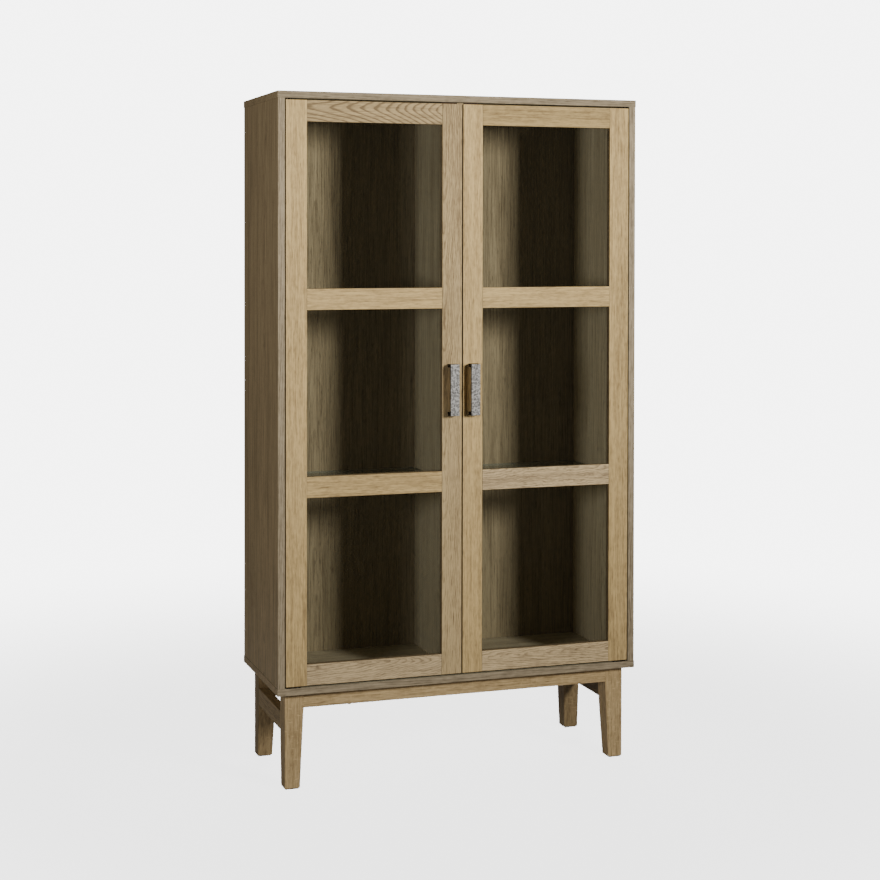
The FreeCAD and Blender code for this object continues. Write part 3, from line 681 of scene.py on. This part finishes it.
def steel(name, rough, tint="steel"):
    """Plated steel with fine marks."""
    finish = Finish(name)
    marks = finish.noise(finish.place, waves=(900, 900, 180), detail=3.0, roughness=0.6)
    colour = finish.speckled(marks, getattr(bpy.context.scene.cabinet_finish, tint), low=0.8, high=1.15)
    return finish.shade(Base_Color=colour, Metallic=1.0, Roughness=rough + marks * MARKS_ROUGHEN)


class CABINET_OT_panes(bpy.types.Operator):
    """Door panes"""
    bl_idname = "cabinet.panes"
    bl_label = "Door panes"

    def execute(self, context):
        tint = rgba(context.scene.cabinet_finish.glass)
        glass = clear_glass("door_glass", tint, haze=0.03, glance=0.8)
        for side in SIDES:
            for level in ("lower", "middle", "upper"):
                paint(f"pane_{level}_{side}", glass)
        return {"FINISHED"}


class CABINET_OT_shelves(bpy.types.Operator):
    """Glass shelves with ground edges, and the pins that carry them"""
    bl_idname = "cabinet.shelves"
    bl_label = "Shelves"

    def execute(self, context):
        tint = context.scene.cabinet_finish.glass_edge
        broad = clear_glass("shelf_glass", rgba(tint, SHELF_TONE), haze=0.04, glance=0.7)
        edge = Finish("shelf_glass_edge")
        depth = edge.noise(edge.place, waves=(60, 60, 480), detail=2.0, roughness=0.5)
        colour = edge.speckled(depth, tint, low=0.6, high=1.4)
        rim = edge.shade(Base_Color=colour, Roughness=0.22, Alpha=0.5)
        for side in SIDES:
            for level in ("lower", "upper"):
                node = f"shelf_{side}_{level}"
                low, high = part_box(node)
                form = bmesh.new()
                block(form, middle_of(node), high - low)
                soften(form, context.scene.cabinet_making.pane_arris)
                for face in form.faces:
                    face.material_index = 0 if abs(face.normal.z) > LEVEL else 1
                piece = finished(form, f"glass_shelf_{side}_{level}", [broad, rim], node)
                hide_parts(node)
        paint("shelf_pins", steel("pin_steel", rough=0.28))
        return {"FINISHED"}


HANDLE_FACE = 4.5 * MM  # The hammered face goes so far back from a handle's front. Behind it the iron is painted near black: painted shade.
WEAR = {"dents": 0.7, "patch": 0.5, "fine": 0.6}  # What each adds to the wear of the iron.
WORN = (0.65, 1.05)  # The wear over which it goes from dark to light.
FINE_DENTS = 0.25  # The depth of its fine noise beside the dents,
FINE_ROUGHENS = 0.2  # and how far that noise roughens it.
IRON_ROUGHNESS = 0.42


def hammered_iron():
    """Silver-grey iron, hammered: small dents with worn rims."""
    finish = Finish("hammered_iron")
    dents = finish.cells(finish.place, waves=(210, 210, 210))
    fine = finish.noise(finish.place, waves=(420, 420, 420), detail=4.0, roughness=0.65)
    patch = finish.noise(finish.place, waves=(150, 150, 150), detail=3.0, roughness=0.6)
    colours = bpy.context.scene.cabinet_finish
    wear = dents * WEAR["dents"] + patch * WEAR["patch"] + fine * WEAR["fine"]
    colour = finish.blend(wear.between(*WORN), rgba(colours.iron_dark), rgba(colours.iron_light))
    rough = IRON_ROUGHNESS + fine * FINE_ROUGHENS
    normal = finish.bump(dents + fine * FINE_DENTS, strength=0.7, distance=1.2 * MM)
    return finish.shade(Base_Color=colour, Metallic=0.55, Roughness=rough, Normal=normal)


class CABINET_OT_handles(bpy.types.Operator):
    """Hammered bar handles"""
    bl_idname = "cabinet.handles"
    bl_label = "Handles"

    def execute(self, context):
        iron = hammered_iron()
        painted_shade_iron = steel("blackened_iron", rough=0.55, tint="blackened")
        for side in SIDES:
            node = f"handle_{side}"
            form = merged(node)
            soften(form, context.scene.cabinet_making.iron_arris, least=4 * MM)
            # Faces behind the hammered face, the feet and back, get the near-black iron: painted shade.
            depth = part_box(node)[0].y + HANDLE_FACE
            for face in form.faces:
                face.material_index = 0 if face.calc_center_median().y < depth else 1
            piece = finished(form, f"bar_handle_{side}", [iron, painted_shade_iron], node)
            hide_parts(node)
        return {"FINISHED"}


# A screw head: the height and width of its rim, the dome's slope and rise, the flat ring round the
# recess, and the recess's slope and depth. All are shares of the head's height or its radius.
HEAD_SIDES = 24
RIM_HEIGHT = 0.55
RIM_WIDTH = 0.94
DOME_SLOPE = 0.35
DOME_RISE = 0.45
RING_WIDTH = 0.2
RECESS_SLOPE = 0.06
RECESS_DEPTH = 0.6

HINGE_SCREWS = (16.5 * MM, 29.5 * MM)  # From a plate's outer end to its screws.
HINGE_HEAD = (3.1 * MM, 0.5 * MM)  # Radius and height.


def screw_head(form, place, facing, radius, height):
    """Add a low domed head with a round recess, standing on a place and facing a way."""
    head = bmesh.new()
    bmesh.ops.create_circle(head, segments=HEAD_SIDES, radius=radius, cap_ends=True)
    raised = bmesh.ops.extrude_face_region(head, geom=head.faces[:])
    top = [part for part in raised["geom"] if isinstance(part, bmesh.types.BMVert)]
    cap = [part for part in raised["geom"] if isinstance(part, bmesh.types.BMFace)]
    bmesh.ops.translate(head, vec=(0, 0, height * RIM_HEIGHT), verts=top)
    bmesh.ops.scale(head, vec=(RIM_WIDTH, RIM_WIDTH, 1), verts=top)
    for width, rise in ((radius * DOME_SLOPE, height * DOME_RISE), (radius * RING_WIDTH, 0),
                        (radius * RECESS_SLOPE, -height * RECESS_DEPTH)):
        bmesh.ops.inset_region(head, faces=cap, thickness=width, depth=rise)
    bmesh.ops.recalc_face_normals(head, faces=head.faces)
    turn = Vector((0, 0, 1)).rotation_difference(facing).to_matrix().to_4x4()
    bmesh.ops.transform(head, matrix=Matrix.Translation(place) @ turn, verts=head.verts)
    mesh = bpy.data.meshes.new("head")
    head.to_mesh(mesh)
    head.free()
    form.from_mesh(mesh)
    bpy.data.meshes.remove(mesh)


class CABINET_OT_hinges(bpy.types.Operator):
    """Pivot plates, sockets, strike plates and their screws"""
    bl_idname = "cabinet.hinges"
    bl_label = "Hinges"

    def execute(self, context):
        # The plates' dark brown is painted shade of the gaps they stand in.
        plate = steel("plate_steel", rough=0.42, tint="gap_shade_dark")
        screw = steel("screw_steel", rough=0.38)
        panel_faces = (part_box("bottom_panel")[1].z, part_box("top_panel")[0].z)
        stile_ends = tuple(corner.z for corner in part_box("stile_outer_left"))
        for side, sign in SIDES.items():
            for node in (f"pivot_plates_{side}", f"pivot_sockets_{side}", f"strike_plate_{side}"):
                paint(node, plate)
            paint(f"handle_screws_{side}", screw)
            self.heads(f"pivot_plates_{side}", f"plate_screws_{side}", sign, screw, panel_faces, 1)
            self.heads(f"pivot_sockets_{side}", f"socket_screws_{side}", sign, screw, stile_ends, -1)
        paint("base_screws", screw)
        return {"FINISHED"}

    def heads(self, node, name, sign, material, heights, up):
        """Two heads on each of the node's two plates. The lower plate faces up where up is 1."""
        low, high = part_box(node)
        depth = (low.y + high.y) / 2
        outer = high.x if sign > 0 else low.x
        form = bmesh.new()
        for height, facing in zip(heights, (up, -up)):
            for reach in HINGE_SCREWS:
                spot = Vector((outer - sign * reach, depth, height))
                screw_head(form, spot, Vector((0, 0, facing)), *HINGE_HEAD)
        finished(form, name, [material], node)


CATCH_LENGTH = 40 * MM  # Of a case.
CATCH_ARRIS = 0.7 * MM
CATCH_SCREW_REACH = 0.41 * CATCH_LENGTH  # From the middle of a catch to its screws.
CATCH_HEAD = (1.9 * MM, -0.001 * MM)  # Radius and height. The head lies flush in the case.
POLE_REACH = 1.2 * MM  # How far the poles stand out in front of the case.
POLE_SIZE = Vector((0.55 * CATCH_LENGTH, 4.0 * MM, 1.4 * MM))
POLE_DEPTH = 2.1 * MM  # From the front of a catch to the middle of its poles.
POLE_HEIGHTS = (-3.2 * MM, 1.0 * MM)  # Above the middle of the case.


class CABINET_OT_catches(bpy.types.Operator):
    """Magnetic catches: a plastic case with two steel poles and a screw at each end"""
    bl_idname = "cabinet.catches"
    bl_label = "Catches"

    def execute(self, context):
        case = Finish("catch_case")
        grain = case.noise(case.place, waves=(2200, 2200, 2200), detail=2.0, roughness=0.6)
        colour = case.speckled(grain, context.scene.cabinet_finish.plastic, low=0.85, high=1.2)
        normal = case.bump(grain, strength=0.15, distance=0.3 * MM)
        plastic = case.shade(Base_Color=colour, Roughness=0.5, Normal=normal)
        pole = steel("pole_steel", rough=0.3)
        low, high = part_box("magnetic_catches")
        middle = middle_of("magnetic_catches")
        cases = bmesh.new()
        poles = bmesh.new()
        for sign in SIDES.values():
            x = sign * middle_of("strike_plate_right").x
            centre = Vector((x, middle.y + POLE_REACH / 2, middle.z))
            block(cases, centre, Vector((CATCH_LENGTH, high.y - low.y - POLE_REACH, high.z - low.z)))
            for height in POLE_HEIGHTS:
                block(poles, Vector((x, low.y + POLE_DEPTH, centre.z + height)), POLE_SIZE)
            for end in (-1, 1):
                spot = Vector((x + end * CATCH_SCREW_REACH, centre.y, low.z))
                screw_head(poles, spot, Vector((0, 0, -1)), *CATCH_HEAD)
        soften(cases, CATCH_ARRIS)
        piece = finished(cases, "catch_cases", [plastic], "magnetic_catches")
        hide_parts("magnetic_catches")
        finished(poles, "catch_poles", [pole], "magnetic_catches")
        return {"FINISHED"}


# Stage

# The lamps: what each one aims at, its width and height, and its spread in degrees.
KEY_LAMP = {"aim": (-0.6, 0, 2.4), "width": 0.6, "height": 0.8, "spread": 102}
FILL_LAMP = {"aim": (0, 0, 1.9), "width": 0.5, "height": 0.6, "spread": 105}
REAR_LAMP = {"aim": (0, 0, 0.9), "width": 2.2, "height": 2.2, "spread": 180}
REAR_PLACE = (1.2, 4.2, 2.4)
ROOM_COLOUR = (1, 0.92, 0.8, 1)
BACKDROP_COLOUR = (1, 1, 1, 1)
FLOOR_COLOUR = (0.9, 0.9, 0.9, 1)
FLOOR_REACH = 3.4  # From the middle of the floor to its sides.
FLOOR_FADE = (0.9, 3.2)  # The floor fades away between these distances.
FLOOR_SHARE = 0.5  # How solid it is before that.
FRAME_WIDTH = 36  # Of the camera, in millimetres.
CLIP_START = 0.05
CLIP_END = 60


class CABINET_OT_stage(bpy.types.Operator):
    """Pale floor, soft lights and the camera"""
    bl_idname = "cabinet.stage"
    bl_label = "Stage"

    def execute(self, context):
        studio = context.scene.cabinet_studio
        self.floor()
        context.scene.world = self.world(studio)
        key = self.lamp("key_light", studio.key_place, studio.key_power, **KEY_LAMP)
        key.visible_glossy = False
        self.lamp("fill_light", studio.fill_place, studio.fill_power, **FILL_LAMP)
        self.lamp("rear_light", REAR_PLACE, studio.rear_power, **REAR_LAMP)
        bpy.context.scene.camera = self.camera(studio)
        return {"FINISHED"}

    def floor(self):
        """A pale floor that fades away towards its sides."""
        form = bmesh.new()
        bmesh.ops.create_grid(form, x_segments=1, y_segments=1, size=FLOOR_REACH)
        mesh = bpy.data.meshes.new("floor")
        form.to_mesh(mesh)
        form.free()
        finish = Finish("pale_floor")
        reach = finish.add("ShaderNodeVectorMath", {"operation": "LENGTH"}, {0: finish.place}, "Value")
        fade = FLOOR_SHARE * (1 - reach.between(*FLOOR_FADE))
        mesh.materials.append(finish.shade(Base_Color=FLOOR_COLOUR, Roughness=0.8, Alpha=fade))
        piece = bpy.data.objects.new("floor", mesh)
        bpy.context.scene.collection.objects.link(piece)

    def world(self, studio):
        """A dim warm room that lights the cabinet, and a bright backdrop that only the camera sees."""
        world = bpy.data.worlds.new("studio")
        nodes = Nodes(world)
        room = nodes.add("ShaderNodeBackground", None,
                         {"Color": ROOM_COLOUR, "Strength": studio.ambient})
        backdrop = nodes.add("ShaderNodeBackground", None,
                             {"Color": BACKDROP_COLOUR, "Strength": studio.backdrop})
        seen = nodes.add("ShaderNodeLightPath", output="Is Camera Ray")
        mix = nodes.add("ShaderNodeMixShader", None, {0: seen, 1: room, 2: backdrop})
        nodes.add("ShaderNodeOutputWorld", None, {"Surface": mix})
        return world

    def lamp(self, name, place, power, aim, width, height, spread):
        """A soft rectangular lamp."""
        data = bpy.data.lights.new(name, "AREA")
        data.shape = "RECTANGLE"
        data.size = width
        data.size_y = height
        data.spread = math.radians(spread)
        data.energy = power
        lamp = bpy.data.objects.new(name, data)
        bpy.context.scene.collection.objects.link(lamp)
        turn = (Vector(aim) - Vector(place)).to_track_quat("-Z", "Y").to_matrix().to_4x4()
        lamp.matrix_world = Matrix.Translation(place) @ turn
        return lamp

    def camera(self, studio):
        """The camera of the photograph's view."""
        data = bpy.data.cameras.new("camera")
        data.lens = studio.lens
        data.sensor_width = FRAME_WIDTH
        data.shift_y = studio.rise
        data.clip_start = CLIP_START
        data.clip_end = CLIP_END
        camera = bpy.data.objects.new("camera", data)
        bpy.context.scene.collection.objects.link(camera)
        turn = (Matrix.Rotation(-studio.camera_turn, 4, "Z")
                @ Matrix.Rotation(math.pi / 2 + studio.camera_tilt, 4, "X")
                @ Matrix.Rotation(studio.camera_roll, 4, "Z"))
        camera.matrix_world = Matrix.Translation(studio.camera_place) @ turn
        return camera


class CABINET_PT_panel(bpy.types.Panel):
    """Lists the cabinet's settings and steps"""
    bl_label = "Cabinet"
    bl_idname = "CABINET_PT_panel"
    bl_space_type = "VIEW_3D"
    bl_region_type = "UI"
    bl_category = "Cabinet"

    def draw(self, context):
        layout = self.layout
        for step in STEPS:
            layout.operator(f"cabinet.{step}")
        for group in ("cabinet_finish", "cabinet_making", "cabinet_studio"):
            box = layout.box()
            settings = getattr(context.scene, group)
            for name in settings.__annotations__:
                box.prop(settings, name)


STEPS = ("carcass", "base", "doors", "panes", "shelves", "handles", "hinges", "catches", "stage")
CLASSES = (CabinetFinish, CabinetMaking, CabinetStudio, CABINET_OT_carcass, CABINET_OT_base,
           CABINET_OT_doors, CABINET_OT_panes, CABINET_OT_shelves, CABINET_OT_handles,
           CABINET_OT_hinges, CABINET_OT_catches, CABINET_OT_stage, CABINET_PT_panel)


def register():
    for cls in CLASSES:
        bpy.utils.register_class(cls)
    bpy.types.Scene.cabinet_finish = PointerProperty(type=CabinetFinish)
    bpy.types.Scene.cabinet_making = PointerProperty(type=CabinetMaking)
    bpy.types.Scene.cabinet_studio = PointerProperty(type=CabinetStudio)


def unregister():
    del bpy.types.Scene.cabinet_studio
    del bpy.types.Scene.cabinet_making
    del bpy.types.Scene.cabinet_finish
    for cls in reversed(CLASSES):
        bpy.utils.unregister_class(cls)


def main():
    register()
    for step in STEPS:
        getattr(bpy.ops.cabinet, step)()


if __name__ == "__main__":
    main()
